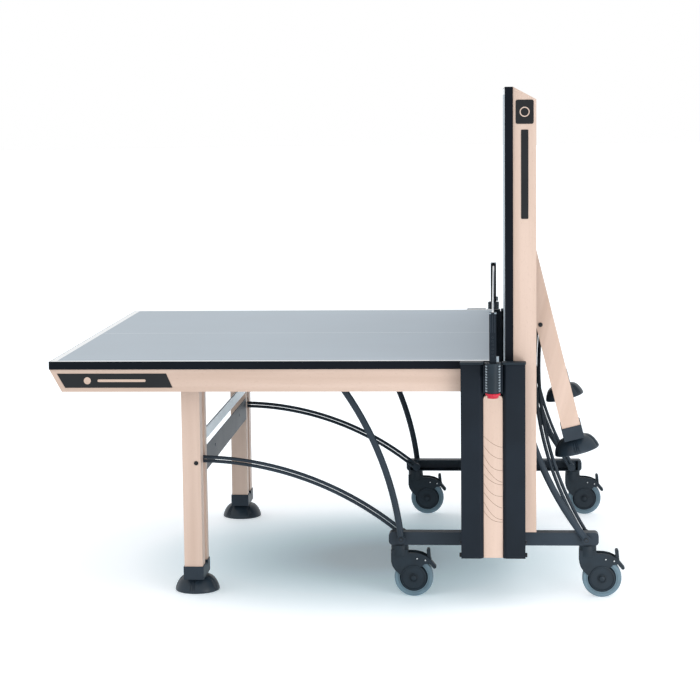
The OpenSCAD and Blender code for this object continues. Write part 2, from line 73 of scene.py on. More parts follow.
NET_X = centre("net").x
FOLDED_LEG = AXIS["foot_screw_right_near"]
LEAN = math.degrees(math.atan2(FOLDED_LEG.x, -FOLDED_LEG.z))


# ---- Materials ---------------------------------------------------------------------------
class Finish:
    """A material put together from nodes, on object coordinates in metres."""

    def __init__(self, name, color, rough, metal=0.0, coat=0.0, shine=0.5):
        self.material = bpy.data.materials.new(name)
        self.material.use_nodes = True
        self.tree = self.material.node_tree
        self.shader = self.tree.nodes["Principled BSDF"]
        self.shader.inputs["Base Color"].default_value = (*color, 1)
        self.shader.inputs["Roughness"].default_value = rough
        self.shader.inputs["Metallic"].default_value = metal
        self.shader.inputs["Coat Weight"].default_value = coat
        self.shader.inputs["Specular IOR Level"].default_value = shine
        self.rough = rough
        self.place = self.add("ShaderNodeTexCoord").outputs["Object"]

    def add(self, kind, **inputs):
        node = self.tree.nodes.new(kind)
        for key, value in inputs.items():
            node.inputs[key].default_value = value
        return node

    def link(self, output, socket):
        self.tree.links.new(output, socket)

    def math(self, operation, first, second=0.0, third=0.0):
        """One arithmetic node; each value is a number or another node's output."""
        node = self.tree.nodes.new("ShaderNodeMath")
        node.operation = operation
        for socket, value in zip(node.inputs, (first, second, third)):
            if isinstance(value, (int, float)):
                socket.default_value = value
            else:
                self.link(value, socket)
        return node.outputs[0]

    def scaled(self, scale, turn=0.0):
        """Coordinates turned about Y, then stretched by a scale for each axis."""
        turned = self.add("ShaderNodeMapping", Rotation=(0, math.radians(turn), 0))
        stretched = self.add("ShaderNodeMapping", Scale=scale)
        self.link(self.place, turned.inputs["Vector"])
        self.link(turned.outputs[0], stretched.inputs["Vector"])
        return stretched.outputs[0]

    def noise(self, scale, detail=3.0, turn=0.0):
        node = self.add("ShaderNodeTexNoise", Scale=1.0, Detail=detail)
        self.link(self.scaled(scale, turn), node.inputs["Vector"])
        return node.outputs["Fac"]

    def ramp(self, value, low, high):
        """Maps a value from low..high to 0..1, clipped."""
        node = self.add("ShaderNodeMapRange", **{"From Min": low, "From Max": high})
        self.link(value, node.inputs["Value"])
        return node.outputs[0]

    def blend_color(self, factor, first, second):
        """Colour between two colours or outputs."""
        node = self.tree.nodes.new("ShaderNodeMix")
        node.data_type = "RGBA"
        self.link(factor, node.inputs["Factor"])
        for socket, value in ((node.inputs[6], first), (node.inputs[7], second)):
            if isinstance(value, tuple):
                socket.default_value = (*value, 1)
            else:
                self.link(value, socket)
        return node.outputs[2]

    def set_color(self, output):
        self.link(output, self.shader.inputs["Base Color"])

    def vary_rough(self, factor, spread):
        node = self.add("ShaderNodeMapRange",
                        **{"To Min": self.rough - spread, "To Max": self.rough + spread})
        self.link(factor, node.inputs["Value"])
        self.link(node.outputs[0], self.shader.inputs["Roughness"])

    def bump(self, height, depth):
        node = self.add("ShaderNodeBump", Strength=1.0, Distance=depth)
        self.link(height, node.inputs["Height"])
        self.link(node.outputs[0], self.shader.inputs["Normal"])


def shade(color, factor):
    return tuple(c * factor for c in color)


def grained(name, color, rough, grain, depth, patch=7.0, spread=0.06, change=0.12, **more):
    """Even colour with a fine grain in relief and slow changes in tone and gloss."""
    finish = Finish(name, color, rough, **more)
    slow = finish.noise((patch,) * 3, 2.0)
    tone = finish.ramp(slow, 0.35, 0.65)
    finish.set_color(finish.blend_color(tone, shade(color, 1 - change), shade(color, 1 + change)))
    finish.vary_rough(slow, spread)
    finish.bump(finish.noise((grain,) * 3, 2.0), depth)
    return finish.material


def beech(name, turn):
    """Varnished beech with its grain along Z, turned about Y."""
    pale = (0.645, 0.492, 0.410)
    deep = (0.560, 0.413, 0.333)
    fleck = (0.440, 0.303, 0.230)
    finish = Finish(name, pale, 0.50, coat=0.08, shine=0.3)
    finish.shader.inputs["Coat Roughness"].default_value = 0.35
    bands = finish.ramp(finish.noise((26, 26, 1.1), 4.0, turn), 0.36, 0.70)
    fibres = finish.ramp(finish.noise((620, 620, 9), 3.0, turn), 0.45, 0.80)
    rays = finish.ramp(finish.noise((780, 780, 105), 1.0, turn), 0.66, 0.74)
    toned = finish.blend_color(bands, pale, deep)
    lined = finish.blend_color(finish.math("MULTIPLY", fibres, 0.30), toned, deep)
    flecked = finish.blend_color(finish.math("MULTIPLY", rays, 0.42), lined, fleck)
    finish.set_color(flecked)
    finish.vary_rough(bands, 0.05)
    finish.bump(fibres, 0.00004)
    return finish.material


def net_mesh():
    """Square mesh of dark cords: the holes are clear by the material's alpha."""
    pitch = 0.0125
    cord = 0.0016
    finish = Finish("net_mesh", (0.035, 0.04, 0.045), 0.8)
    axes = finish.add("ShaderNodeSeparateXYZ")
    finish.link(finish.place, axes.inputs[0])
    share = cord / pitch

    def cords(axis):
        phase = finish.math("FRACT", finish.math("DIVIDE", axes.outputs[axis], pitch))
        return finish.math("LESS_THAN", phase, share)

    alpha = finish.math("MAXIMUM", cords("Y"), cords("Z"))
    finish.link(alpha, finish.shader.inputs["Alpha"])
    finish.bump(finish.noise((2400, 2400, 2400), 2.0), 0.0002)
    return finish.material


def woven_tape(name, color):
    """Woven cloth tape: two crossing sets of fine threads in relief."""
    finish = Finish(name, color, 0.85)
    finish.shader.inputs["Sheen Weight"].default_value = 0.25
    axes = finish.add("ShaderNodeSeparateXYZ")
    finish.link(finish.place, axes.inputs[0])
    thread = 2 * math.pi / 0.0011
    waves = [finish.math("SINE", finish.math("MULTIPLY", axes.outputs[a], thread)) for a in "YZ"]
    weave = finish.math("MULTIPLY", waves[0], waves[1])
    tone = finish.ramp(finish.noise((30, 30, 30), 3.0), 0.3, 0.7)
    finish.set_color(finish.blend_color(tone, shade(color, 0.93), color))
    finish.bump(weave, 0.00015)
    return finish.material


def brushed(name, color, rough, scale, change=0.10, metal=1.0):
    """Metal with fine marks along one direction."""
    finish = Finish(name, color, rough, metal=metal)
    marks = finish.noise(scale, 4.0)
    finish.set_color(finish.blend_color(marks, shade(color, 1 - change), shade(color, 1 + change)))
    finish.vary_rough(marks, 0.08)
    finish.bump(marks, 0.00002)
    return finish.material


STEEL = grained("slate_powder_coat", (0.020, 0.031, 0.044), 0.46, 1100, 0.00006, shine=0.22)
UPRIGHT = grained("dark_powder_coat", (0.007, 0.012, 0.019), 0.48, 1100, 0.00006, shine=0.15)
BAND = grained("edge_band_coat", (0.003, 0.005, 0.009), 0.48, 1100, 0.00005, shine=0.10)
PLASTIC = grained("moulded_black", (0.010, 0.019, 0.028), 0.50, 1900, 0.00005, patch=25,
                  shine=0.25)
# light grey plastic for the post caps, the clips and the barrel lugs; on the lugs this grey is painted highlight,
# standing in for the glints along them
PLASTIC_GREY_AND_HIGHLIGHT = grained("moulded_grey_and_highlight", (0.24, 0.29, 0.33), 0.45, 1900, 0.00004, patch=25)
RUBBER = grained("foot_rubber", (0.017, 0.029, 0.042), 0.38, 1400, 0.00006, patch=18, shine=0.32)
TREAD = grained("wheel_tread", (0.120, 0.185, 0.228), 0.55, 1200, 0.00005, patch=20, shine=0.3)
RED = grained("red_gloss", (0.46, 0.010, 0.030), 0.34, 900, 0.00002, patch=40,
              coat=0.1, shine=0.3)
PRINT = grained("black_print", (0.006, 0.007, 0.009), 0.38, 1500, 0.00002, patch=12, shine=0.3)
BURNT = grained("burnt_line", (0.23, 0.14, 0.10), 0.75, 1500, 0.00004, patch=60)
BOARD = grained("board_core", (0.10, 0.105, 0.11), 0.65, 500, 0.00010, patch=9)
PLAY = grained("playing_surface", (0.385, 0.448, 0.506), 0.50, 1700, 0.00005, patch=2.2,
               spread=0.03, change=0.025, shine=0.3)
LINE = grained("line_paint", (0.84, 0.86, 0.87), 0.45, 1700, 0.00004, patch=3, change=0.02)
BLACK_BOLT = grained("blackened_steel", (0.012, 0.014, 0.017), 0.35, 700, 0.00003, metal=0.5)
ZINC = brushed("zinc_steel", (0.60, 0.62, 0.64), 0.30, (300, 40, 300))
# tie bar: aluminium grey raised to near white with little metal, a painted reflection that makes it look as bright
# as the bar reflecting the white studio
TIE_PAINTED_REFLECTION = brushed("satin_aluminium_painted_reflection", (0.84, 0.90, 0.94), 0.50, (500, 6, 500), 0.04, 0.3)
NET = net_mesh()
TAPE = woven_tape("white_tape", (0.85, 0.86, 0.87))
DARK_TAPE = woven_tape("dark_tape", (0.03, 0.034, 0.04))
WOOD_UPRIGHT = beech("beech_upright", 0)
WOOD_LEVEL = beech("beech_level", 90)
WOOD_LEANING = beech("beech_leaning", -LEAN)


# ---- Making pieces -----------------------------------------------------------------------
def piece(name, bm, materials, body, nodes=(), sharp=38):
    """Turns a bmesh into a smooth-shaded piece that rides on a body."""
    mesh = bpy.data.meshes.new(name)
    bmesh.ops.recalc_face_normals(bm, faces=bm.faces)
    bm.to_mesh(mesh)
    bm.free()
    mesh.shade_smooth()
    mesh.set_sharp_from_angle(angle=math.radians(sharp))
    obj = bpy.data.objects.new(name, mesh)
    bpy.context.scene.collection.objects.link(obj)
    for material in materials:
        mesh.materials.append(material)
    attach(obj, body)
    if nodes:
        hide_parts(*nodes)
    return obj


def rounded(obj, width, segments=2, corner=30):
    """Rounds every edge sharper than corner, and keeps the result as the piece's mesh."""
    bevel = obj.modifiers.new("round", "BEVEL")
    bevel.width = width
    bevel.segments = segments
    bevel.limit_method = "ANGLE"
    bevel.angle_limit = math.radians(corner)
    bevel.use_clamp_overlap = True
    bevel.harden_normals = True
    evaluated = obj.evaluated_get(bpy.context.evaluated_depsgraph_get())
    made = bpy.data.meshes.new_from_object(evaluated)
    obj.modifiers.clear()
    obj.data = made
    return obj


def finished(node, width, material, segments=2, corner=30):
    """A copy of a CAD node with its flat faces merged and its edges rounded."""
    bm = bmesh.new()
    bm.from_mesh(NODES[node].data)
    bmesh.ops.remove_doubles(bm, verts=bm.verts, dist=1e-6)
    bmesh.ops.dissolve_limit(bm, angle_limit=math.radians(0.4), verts=bm.verts, edges=bm.edges)
    for face in bm.faces:
        face.material_index = 0
    obj = piece(node + "_finish", bm, [material], BODY[node], [node])
    return rounded(obj, width, segments, corner) if width else obj


def lathe(bm, profile, place, segments=64, index=0, swell=None):
    """Turns (radius, height) points about local Z. swell(angle, step) scales a radius."""
    rings = []
    for step, (radius, height) in enumerate(profile):
        if radius == 0:
            rings.append([bm.verts.new(place @ Vector((0, 0, height)))])
            continue
        ring = []
        for k in range(segments):
            angle = 2 * math.pi * k / segments
            r = radius * (swell(angle, step) if swell else 1)
            point = Vector((r * math.cos(angle), r * math.sin(angle), height))
            ring.append(bm.verts.new(place @ point))
        rings.append(ring)
    for low, high in zip(rings, rings[1:]):
        for k in range(segments):
            n = (k + 1) % segments
            corners = [low[k % len(low)], low[n % len(low)],
                       high[n % len(high)], high[k % len(high)]]
            unique = list(dict.fromkeys(corners))
            if len(unique) > 2:
                bm.faces.new(unique).material_index = index


def ring_lathe(bm, profile, place, segments=64, index=0, swell=None):
    """A lathe whose profile closes on itself, such as a tyre or a sleeve."""
    lathe(bm, [*profile, profile[0]], place, segments, index, swell)


def weld(bm):
    bmesh.ops.remove_doubles(bm, verts=bm.verts, dist=1e-6)


def block(bm, low, high, index=0, place=Matrix.Identity(4)):
    """A box between two corners."""
    made = bmesh.ops.create_cube(bm, size=1)
    low, high = Vector(low), Vector(high)
    size = high - low
    middle = (low + high) / 2
    fitted = place @ Matrix.Translation(middle) @ Matrix.Diagonal((*size, 1))
    bmesh.ops.transform(bm, matrix=fitted, verts=made["verts"])
    for face in {f for v in made["verts"] for f in v.link_faces}:
        face.material_index = index


def prism(bm, outline, low, high, place, index=0):
    """An outline in local XY, extruded along local Z."""
    rings = [[bm.verts.new(place @ Vector((x, y, z))) for x, y in outline] for z in (low, high)]
    bm.faces.new(rings[0][::-1]).material_index = index
    bm.faces.new(rings[1]).material_index = index
    count = len(outline)
    for k in range(count):
        n = (k + 1) % count
        bm.faces.new([rings[0][k], rings[0][n], rings[1][n], rings[1][k]]).material_index = index


def round_outline(width, height, radius, steps=6):
    """Corner points of a rectangle with round corners, about the origin."""
    points = []
    for quarter, (sx, sy) in enumerate(((1, 1), (-1, 1), (-1, -1), (1, -1))):
        for k in range(steps + 1):
            angle = math.radians(90 * (quarter + k / steps))
            points.append((sx * (width / 2 - radius) + radius * math.cos(angle),
                           sy * (height / 2 - radius) + radius * math.sin(angle)))
    return points


def socket_head(bm, place, radius, height, index=0):
    """A round bolt head with a hexagon socket, standing on local Z = 0."""
    rim = radius * 0.16
    key = radius * 0.52
    lathe(bm, [(radius, 0), (radius, height - rim), (radius - rim, height), (key * 1.1, height)],
          place, 36, index)
    hexagon = [(key, height), (key, height * 0.35), (0, height * 0.35)]
    lathe(bm, hexagon, place, 6, index)


def dome(bm, place, radius, height, index=0):
    """A low rivet head, standing on local Z = 0."""
    steps = 5
    angles = [math.radians(90 * k / steps) for k in range(steps)]
    arc = [(radius * math.cos(angle), height * math.sin(angle)) for angle in angles]
    lathe(bm, [*arc, (0, height)], place, 24, index)


def at(point, turn=Matrix.Identity(4)):
    return Matrix.Translation(point) @ turn


def facing(end):
    """Turns local Z out of the near or the far side of the table."""
    return TO_MINUS_Y if end == "near" else TO_Y


def away(end):
    return -1 if end == "near" else 1


# ---- The two halves of the top -------------------------------------------------------------
def half_frame(side):
    """Placement of one half: local X to its outer end, Y across, Z out of its playing face."""
    low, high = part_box("top_panel_" + side)
    if side == "left":
        turn = Matrix.Rotation(math.pi, 4, "Z")
        start = Vector((high.x, 0, high.z))
    else:
        turn = Matrix.Rotation(math.radians(-90), 4, "Y")
        start = Vector((low.x, 0, low.z))
    return Matrix.Translation(start) @ turn


def playing_panel(side):
    """The board with its white lines, which are faces of their own in the playing face."""
    edge_line = 0.020
    centre_line = 0.003
    low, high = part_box("top_panel_" + side)
    size = high - low
    length, thick = (size.x, size.z) if side == "left" else (size.z, size.x)
    width = size.y
    along = [0, length - edge_line, length]
    across = [-width / 2, -width / 2 + edge_line, -centre_line / 2,
              centre_line / 2, width / 2 - edge_line, width / 2]
    place = half_frame(side)
    bm = bmesh.new()
    grid = [[bm.verts.new(place @ Vector((x, y, 0))) for y in across] for x in along]
    under = {}

    def below(i, j):
        if (i, j) not in under:
            under[i, j] = bm.verts.new(place @ Vector((along[i], across[j], -thick)))
        return under[i, j]

    for i in range(len(along) - 1):
        for j in range(len(across) - 1):
            is_line = i == 1 or j in (0, 2, 4)
            face = bm.faces.new([grid[i][j], grid[i + 1][j], grid[i + 1][j + 1], grid[i][j + 1]])
            face.material_index = 1 if is_line else 0
            under_face = [below(i, j), below(i, j + 1), below(i + 1, j + 1), below(i + 1, j)]
            bm.faces.new(under_face).material_index = 2
    last_i, last_j = len(along) - 1, len(across) - 1
    rim = [(i, 0) for i in range(last_i)] + [(last_i, j) for j in range(last_j)]
    rim += [(i, last_j) for i in range(last_i, 0, -1)] + [(0, j) for j in range(last_j, 0, -1)]
    for (i, j), (k, m) in zip(rim, rim[1:] + rim[:1]):
        wall = bm.faces.new([grid[i][j], grid[k][m], below(k, m), below(i, j)])
        wall.material_index = 2
    node = "top_panel_" + side
    obj = piece(node + "_finish", bm, [PLAY, LINE, BOARD], BODY[node], [node])
    return rounded(obj, 0.0004, 1)


def rail_print(side):
    """Plain shapes on the rails' dark plates: a disc and a bar, with no lettering."""
    node = "rail_inlays_" + side
    finished(node, 0.0003, PRINT, 1)
    low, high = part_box(node)
    lift, sunk = 0.0002, -0.0006
    badge_drop = 0.036                  # from the plates' top to the middle of the badge
    bm = bmesh.new()
    for end in ENDS:
        face = high.y if end == "far" else low.y
        if side == "left":
            middle = Vector(((low.x + high.x) / 2, face, (low.z + high.z) / 2))
            marks = [(-0.085, "disc", 0.011, 0), (0.022, "bar", 0.150, 0.008)]
        else:
            middle = Vector(((low.x + high.x) / 2, face, high.z - badge_drop))
            marks = [(0, "ring", 0.015, 0.003)]
        for shift, kind, first, second in marks:
            spot = at(middle + Vector((shift, 0, 0)), facing(end))
            if kind == "bar":
                prism(bm, round_outline(first, second, second * 0.45), sunk, lift, spot)
            elif kind == "disc":
                lathe(bm, [(first, sunk), (first, lift), (0, lift)], spot, 40)
            else:
                ring_lathe(bm, [(first, sunk), (first, lift), (first - second, lift),
                                (first - second, sunk)], spot, 40)
    weld(bm)
    wood = WOOD_LEVEL if side == "left" else WOOD_UPRIGHT
    piece(f"rail_marks_{side}", bm, [wood], BODY[node])


def top_half(side):
    wood = WOOD_LEVEL if side == "left" else WOOD_UPRIGHT
    playing_panel(side)
    finished("edge_band_" + side, 0.0010, BAND, 2)
    for end in ENDS:
        finished(f"rail_{side}_{end}", 0.0025, wood, 3)
    rail_print(side)
    finished("top_cross_tubes_" + side, 0.0025, STEEL)
    finished("guide_carriage_" + side, 0.0012, ZINC)


# ---- Legs ----------------------------------------------------------------------------------
LEG_DROP = PIVOT["leg_fold_left"].z                       # hinge to the floor
LEG_SIDE = PIVOT["leg_fold_left"].x - centre("foot_left_near").x


def foot_base(corner):
    """Centre of a foot's sole and the direction from it up the leg."""
    side = corner.split("_")[0]
    down = AXIS["foot_screw_" + corner].normalized()
    out = Vector((-1, 0, 0)) if side == "left" else Vector((-down.z, 0, down.x))
    hinge = PIVOT["leg_fold_" + side]
    base = hinge + out * LEG_SIDE + down * LEG_DROP
    base.y = centre("foot_" + corner).y
    return base, -down


def fluted_foot(corner, spin):
    """Bell foot with five groups of three grooves down its side."""
    base, up = foot_base(corner)
    turn = Vector((0, 0, 1)).rotation_difference(up).to_matrix().to_4x4()
    turn = turn @ Matrix.Rotation(math.radians(spin), 4, "Z")
    profile = [(0, 0.0), (0.0670, 0.0), (0.0695, 0.0010), (0.0708, 0.0030), (0.0705, 0.0060),
               (0.0692, 0.0120), (0.0662, 0.0200), (0.0617, 0.0290), (0.0562, 0.0370),
               (0.0498, 0.0432), (0.0438, 0.0463), (0.0368, 0.0482), (0.0200, 0.0486),
               (0.0195, 0.0493), (0.0110, 0.0495), (0.0080, 0.0495), (0.0080, 0.0715),
               (0, 0.0715)]
    groups, grooves = 5, 3
    pitch = math.radians(5.4)
    depth = 0.048

    def flute(angle, step):
        if not 4 < step < 11:
            return 1.0
        spot = (angle + math.pi / groups) % (2 * math.pi / groups) - math.pi / groups
        fall = 0.0
        for k in range(grooves):
            gap = abs(spot - (k - (grooves - 1) / 2) * pitch) / (pitch * 0.42)
            fall = max(fall, 1 - gap * gap)
        return 1 - depth * max(fall, 0.0)

    bm = bmesh.new()
    lathe(bm, profile, at(base, turn), 360, 0, flute)
    piece(f"foot_{corner}_finish", bm, [RUBBER], BODY["foot_" + corner],
          ["foot_" + corner], sharp=60)


def leg_bolts(side):
    """Socket heads on the two link bolts of a pair of legs."""
    node = "leg_pins_" + side
    finished(node, 0.0008, BLACK_BOLT)
    face = -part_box(f"leg_{side}_near")[0].y
    bm = bmesh.new()
    for end in ENDS:
        spot = PIVOT["link_swing_" + side].copy()
        spot.y = away(end) * face
        socket_head(bm, at(spot, facing(end)), 0.0068, 0.0022)
    weld(bm)
    piece(f"leg_bolt_heads_{side}", bm, [BLACK_BOLT], BODY[node])


def legs(side):
    wood = WOOD_UPRIGHT if side == "left" else WOOD_LEANING
    for end in ENDS:
        finished(f"leg_{side}_{end}", 0.0035, wood, 3)
    leg_bolts(side)
    finished("foot_brackets_" + side, 0.0018, STEEL)
    finished("leg_crossbar_" + side, 0.0010, STEEL)
    finished("leg_tie_bar_" + side, 0.0020, TIE_PAINTED_REFLECTION, 3)


def arms(side):
    """Arms and links of one half, with a bolt head at each arm's base end."""
    bolt_out, bolt_z = 0.288, 0.187     # from the net plane, and above the floor
    boss_face = 0.684                   # from the centreline
    head_radius, head_height = 0.0074, 0.0052
    finished("main_arms_" + side, 0.0012, STEEL, 2, 40)
    finished("leg_links_" + side, 0.0010, STEEL, 2, 40)
    node = "main_arms_" + side
    out = -1 if side == "left" else 1
    bm = bmesh.new()
    for end in ENDS:
        spot = Vector((NET_X + out * bolt_out, away(end) * boss_face, bolt_z))
        socket_head(bm, at(spot, facing(end)), head_radius, head_height)
    weld(bm)
    piece(f"arm_bolt_heads_{side}", bm, [BLACK_BOLT], BODY[node])


# ---- Base frame ------------------------------------------------------------------------------
def base_frame():
    finished("base_beams", 0.0022, STEEL)
    finished("base_cross_tubes", 0.0022, STEEL)
    for end in ENDS:
        finished("uprights_" + end, 0.0012, UPRIGHT)
    finished("upright_caps", 0.0022, PLASTIC, 3)
    finished("wood_infills", 0.0020, WOOD_UPRIGHT, 3)
    finished("net_brackets", 0.0012, UPRIGHT)
    finished("frame_bolts", 0.0010, BLACK_BOLT)


def infill_lines():
    """Thin curved lines burnt into the outer faces of the wood infills."""
    low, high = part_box("wood_infills")
    face = high.y
    half = (high.x - low.x) / 2 - 0.0015
    line = 0.0013
    count = 9
    first_drop, spacing = 0.125, 0.029
    lift = 0.0002
    steps = 14
    bm = bmesh.new()
    for end in ENDS:
        place = Vector((NET_X, (face + lift) * away(end), 0))
        for k in range(count):
            top = high.z - first_drop - spacing * k
            drop = 0.034 + 0.007 * ((k * 5) % 4)
            power = 1.7 + 0.5 * (k % 3)
            path = []
            for n in range(steps + 1):
                t = n / steps
                fall = drop * (1 - (1 - t) ** power)
                path.append(Vector((-half + 2 * half * t, 0, top - fall)))
            for a, b in zip(path, path[1:]):
                along = (b - a).normalized()
                across = Vector((-along.z, 0, along.x)) * line / 2
                corners = [a - across, b - across, b + across, a + across]
                if end == "near":
                    corners = corners[::-1]
                bm.faces.new([bm.verts.new(place + corner) for corner in corners])
    weld(bm)
    piece("infill_lines", bm, [BURNT], "frame")


# ---- Casters -----------------------------------------------------------------------------------
def caster(corner):
    housing = "caster_housing_" + corner
    finished(housing, 0.0018, PLASTIC, 3)
    wheel_axis = PIVOT["wheel_spin_" + corner]
    swivel = PIVOT["caster_swivel_" + corner]
    pedal = PIVOT["brake_" + corner]
    low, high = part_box(housing)
    axle_proud = 0.003
    cheek = (high.y - low.y) / 2 - axle_proud
    bm = bmesh.new()
    for end in ENDS:
        out = Vector((0, away(end) * cheek, 0))
        for shift in (Vector((-0.038, 0, 0.010)), Vector((-0.012, 0, 0.005))):
            dome(bm, at(pedal + shift + out, facing(end)), 0.0026, 0.0016, 0)
        hub = at(wheel_axis + out, facing(end))
        ring_lathe(bm, [(0.0135, -0.0005), (0.0135, 0.0012), (0.0115, 0.0018), (0.0115, -0.0005)],
                   hub, 40, 1)
        ring_lathe(bm, [(0.0395, -0.0005), (0.0395, 0.0006), (0.0365, 0.0012), (0.0355, -0.0005)],
                   hub, 72, 1)
        lathe(bm, [(0.0085, 0), (0.0085, 0.0028), (0.0070, 0.0035), (0, 0.0035)], hub, 32, 1)
    stem_top = Vector((swivel.x, swivel.y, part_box("base_beams")[0].z - 0.0005))
    ring_lathe(bm, [(0.0262, -0.006), (0.0262, -0.001), (0.0250, 0), (0.020, 0), (0.020, -0.006)],
               at(stem_top), 56, 1)
    weld(bm)
    piece(f"caster_details_{corner}", bm, [ZINC, PLASTIC], BODY[housing])


def wheel(corner):
    node = "wheel_" + corner
    low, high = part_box(node)
    radius = (high.x - low.x) / 2
    half = (high.y - low.y) / 2
    hub = 0.044
    bore = 0.0051
    place = at(PIVOT["wheel_spin_" + corner], TO_Y)
    shoulder = 0.006
    tyre = [(hub, -half), (hub + 0.003, -half), (hub + 0.0042, -half + 0.0010),
            (hub + 0.0054, -half), (radius - shoulder, -half)]
    for k in range(1, 6):
        angle = math.radians(90 * k / 5)
        tyre.append((radius - shoulder + shoulder * math.sin(angle) - 0.0006 * (k == 5),
                     -half + shoulder * (1 - math.cos(angle))))
    tyre.append((radius, -half + shoulder + 0.004))
    tyre += [(r, -h) for r, h in reversed(tyre)]
    disc = [(bore, -half + 0.001), (0.012, -half + 0.001), (0.014, -half + 0.003), (0.017, -0.007),
            (0.037, -0.007), (0.040, -half + 0.002), (hub, -half + 0.0005)]
    disc += [(r, -h) for r, h in reversed(disc)]
    bm = bmesh.new()
    ring_lathe(bm, tyre, place, 120, 0)
    ring_lathe(bm, disc, place, 96, 1)
    for k in range(6):
        spoke = place @ Matrix.Rotation(math.radians(60 * k), 4, "Z")
        block(bm, (0.013, -0.0018, -0.011), (0.0385, 0.0018, 0.011), 1, spoke)
    piece(node + "_finish", bm, [TREAD, PLASTIC], BODY[node], [node])


def pedal(corner):
    finished("brake_pedal_" + corner, 0.0014, PLASTIC, 3)


# ---- Net set -----------------------------------------------------------------------------------
def net_post(end):
    node = "net_post_" + end
    finished(node, 0.0010, UPRIGHT)
    low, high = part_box(node)
    face = low.y if end == "near" else high.y
    rail_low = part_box("net_barrels")[1].z + 0.004
    out = away(end)
    bm = bmesh.new()
    for x in (-0.0062, 0, 0.0062):
        block(bm, (NET_X + x - 0.0011, min(face, face + out * 0.0012), high.z - 0.060),
              (NET_X + x + 0.0011, max(face, face + out * 0.0012), high.z - 0.008), 0)
    for k in range(6):
        spot = at(Vector((NET_X, face, rail_low + 0.018 + 0.011 * k)), facing(end))
        ring_lathe(bm, [(0.0036, -0.0004), (0.0036, 0.0010), (0.0022, 0.0010), (0.0022, -0.0004)],
                   spot, 24, 0)
    cap_low = Vector((low.x - 0.0006, low.y - 0.0006, high.z - 0.0045))
    cap_high = Vector((high.x + 0.0006, high.y + 0.0006, high.z))
    slot_half = 0.0048
    block(bm, cap_low, (NET_X - slot_half, cap_high.y, cap_high.z), 1)
    block(bm, (NET_X + slot_half, cap_low.y, cap_low.z), cap_high, 1)
    clip_x = high.x
    block(bm, (clip_x - 0.001, centre(node).y - 0.006, rail_low),
          (clip_x + 0.0075, centre(node).y + 0.006, rail_low + 0.016), 1)
    obj = piece(f"net_post_trim_{end}", bm, [STEEL, PLASTIC_GREY_AND_HIGHLIGHT], BODY[node])
    rounded(obj, 0.0005, 1)


def net_cloth():
    """The stretched net, its white top tape and its dark bottom cord."""
    low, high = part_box("net")
    barrel_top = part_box("net_barrels")[1].z
    notch_y = abs(PIVOT["net_ring_turn_near"].y) - 0.024
    notch_z = barrel_top + 0.003
    side_y = high.y - 0.004
    columns = [-side_y, -notch_y] + [-notch_y + 2 * notch_y * k / 60 for k in range(1, 60)]
    columns += [notch_y, side_y]
    rows = [low.z, notch_z] + [notch_z + (high.z - 0.002 - notch_z) * k / 6 for k in range(1, 7)]
    bm = bmesh.new()
    verts = {}
    for i, y in enumerate(columns):
        slack = 0.0022 * math.sin(9.0 * y) * (1 - (y / side_y) ** 2)
        for j, z in enumerate(rows):
            bend = slack * (high.z - z) / (high.z - low.z)
            verts[i, j] = bm.verts.new((NET_X + bend, y, z))
    for i in range(len(columns) - 1):
        for j in range(len(rows) - 1):
            if j == 0 and i in (0, len(columns) - 2):
                continue
            bm.faces.new([verts[i, j], verts[i + 1, j], verts[i + 1, j + 1], verts[i, j + 1]])
    for v in [v for v in bm.verts if not v.link_faces]:
        bm.verts.remove(v)
    net = piece("net_cloth", bm, [NET], BODY["net"], ["net"])

    tape_half, tape_drop = 0.003, 0.014
    steps = 6
    outline = [(-tape_half, -tape_drop)]
    angles = [math.radians(180 * k / steps) for k in range(steps + 1)]
    outline += [(-tape_half * math.cos(angle), -tape_half + tape_half * math.sin(angle))
                for angle in angles]
    outline += [(tape_half, -tape_drop)]
    bm = bmesh.new()
    stand = Matrix(((1, 0, 0, NET_X), (0, 0, 1, 0), (0, 1, 0, high.z), (0, 0, 0, 1)))
    prism(bm, outline, -side_y, side_y, stand)
    tape = piece("net_top_tape", bm, [TAPE], BODY["net"])

    bm = bmesh.new()
    block(bm, (NET_X - 0.0022, -notch_y, low.z), (NET_X + 0.0022, notch_y, low.z + 0.006))
    cord = rounded(piece("net_bottom_cord", bm, [DARK_TAPE], BODY["net"]), 0.0015, 3)


def clamp_barrels():
    """Grip sleeves of the net clamps: fine rings, and a column of lugs on each flank."""
    low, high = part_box("net_barrels")
    radius = (high.x - low.x) / 2
    inner = radius - 0.005
    height = high.z - low.z
    rings = 30
    lugs = 10
    lug_half_width = 0.0032
    end_gap = 0.004
    pitch = (height - 2 * end_gap) / lugs
    bm = bmesh.new()
    for end in ENDS:
        spot = Vector((NET_X, PIVOT["net_ring_turn_" + end].y, low.z))
        body = radius - 0.0026
        profile = [(inner, 0), (body - 0.001, 0), (body, 0.001)]
        for k in range(rings):
            z = 0.003 + (height - 0.006) * (k + 0.5) / rings
            profile.append((body + (0.0003 if k % 2 else -0.0003), z))
        profile += [(body, height - 0.001), (body - 0.001, height), (inner, height)]
        ring_lathe(bm, profile, at(spot), 72, 0)
        # the lugs take the light grey plastic (index 1) as painted highlight for the glints along them
        for angle in (62, 118, -62, -118):
            column = at(spot, Matrix.Rotation(math.radians(angle), 4, "Z"))
            for k in range(lugs):
                z = end_gap + pitch * (k + 0.2)
                block(bm, (-lug_half_width, radius - 0.0060, z),
                      (lug_half_width, radius - 0.0002, z + pitch * 0.46), 1, column)
    weld(bm)
    piece("net_barrels_finish", bm, [PLASTIC, PLASTIC_GREY_AND_HIGHLIGHT], "frame",
          ["net_barrels"])


